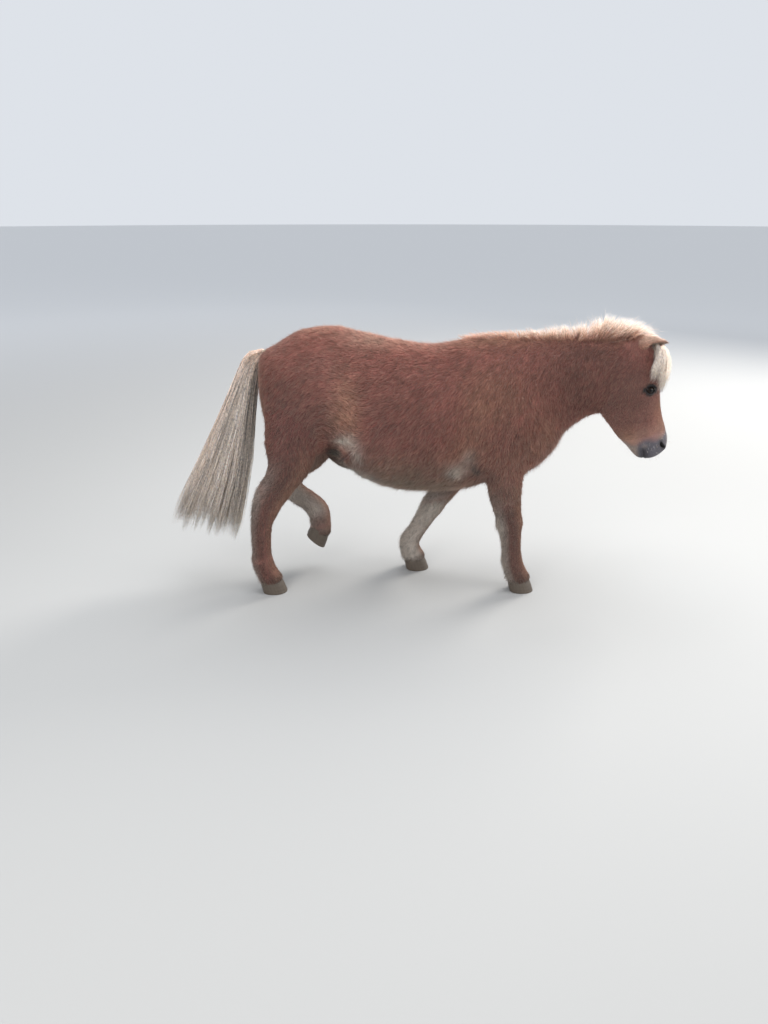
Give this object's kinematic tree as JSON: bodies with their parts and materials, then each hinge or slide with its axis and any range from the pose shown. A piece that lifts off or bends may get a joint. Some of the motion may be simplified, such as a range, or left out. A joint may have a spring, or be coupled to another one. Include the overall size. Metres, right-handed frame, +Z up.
{
  "type": "shetland pony",
  "caption": "Life-size still model of a young chestnut Shetland pony in its winter coat, walking with the head low, one hind foot lifted, flaxen mane and tail.",
  "frame": {"origin": "on the ground, under the middle of the whole model from tail to face and side to side", "axes": "+X forwards, the way the pony walks; +Y to the pony's left; +Z up"},
  "size_m": [1.8378, 0.4042, 1.0276],
  "materials": {
    "chestnut_coat": "thick woolly winter coat of chestnut hair, matt, lying in short locks",
    "flaxen_hair": "long straight cream hair with a soft sheen, darker strands inside",
    "bare_skin": "grey skin with very short down, softly satin",
    "hoof_horn": "dark brown horn with growth rings, dull",
    "eye_surface": "wet, very glossy dark brown eye"
  },
  "bodies": {
    "root": {"hindquarters": "chestnut_coat", "barrel": "chestnut_coat", "forequarters": "chestnut_coat", "neck": "chestnut_coat", "head": "chestnut_coat", "muzzle": "bare_skin", "fore_right_forearm": "chestnut_coat", "fore_right_cannon": "chestnut_coat", "fore_right_pastern": "chestnut_coat", "fore_right_hoof": "hoof_horn", "fore_left_forearm": "chestnut_coat", "fore_left_cannon": "chestnut_coat", "fore_left_pastern": "chestnut_coat", "fore_left_hoof": "hoof_horn", "hind_right_gaskin": "chestnut_coat", "hind_right_cannon": "chestnut_coat", "hind_right_pastern": "chestnut_coat", "hind_right_hoof": "hoof_horn", "hind_left_gaskin": "chestnut_coat", "hind_left_cannon": "chestnut_coat", "hind_left_pastern": "chestnut_coat", "hind_left_hoof": "hoof_horn", "eye_right": "eye_surface", "eye_left": "eye_surface", "ear_right": "chestnut_coat", "ear_left": "chestnut_coat", "mane": "flaxen_hair", "forelock": "flaxen_hair", "tail": "flaxen_hair", "sheath": "bare_skin"}
  },
  "joints": []
}
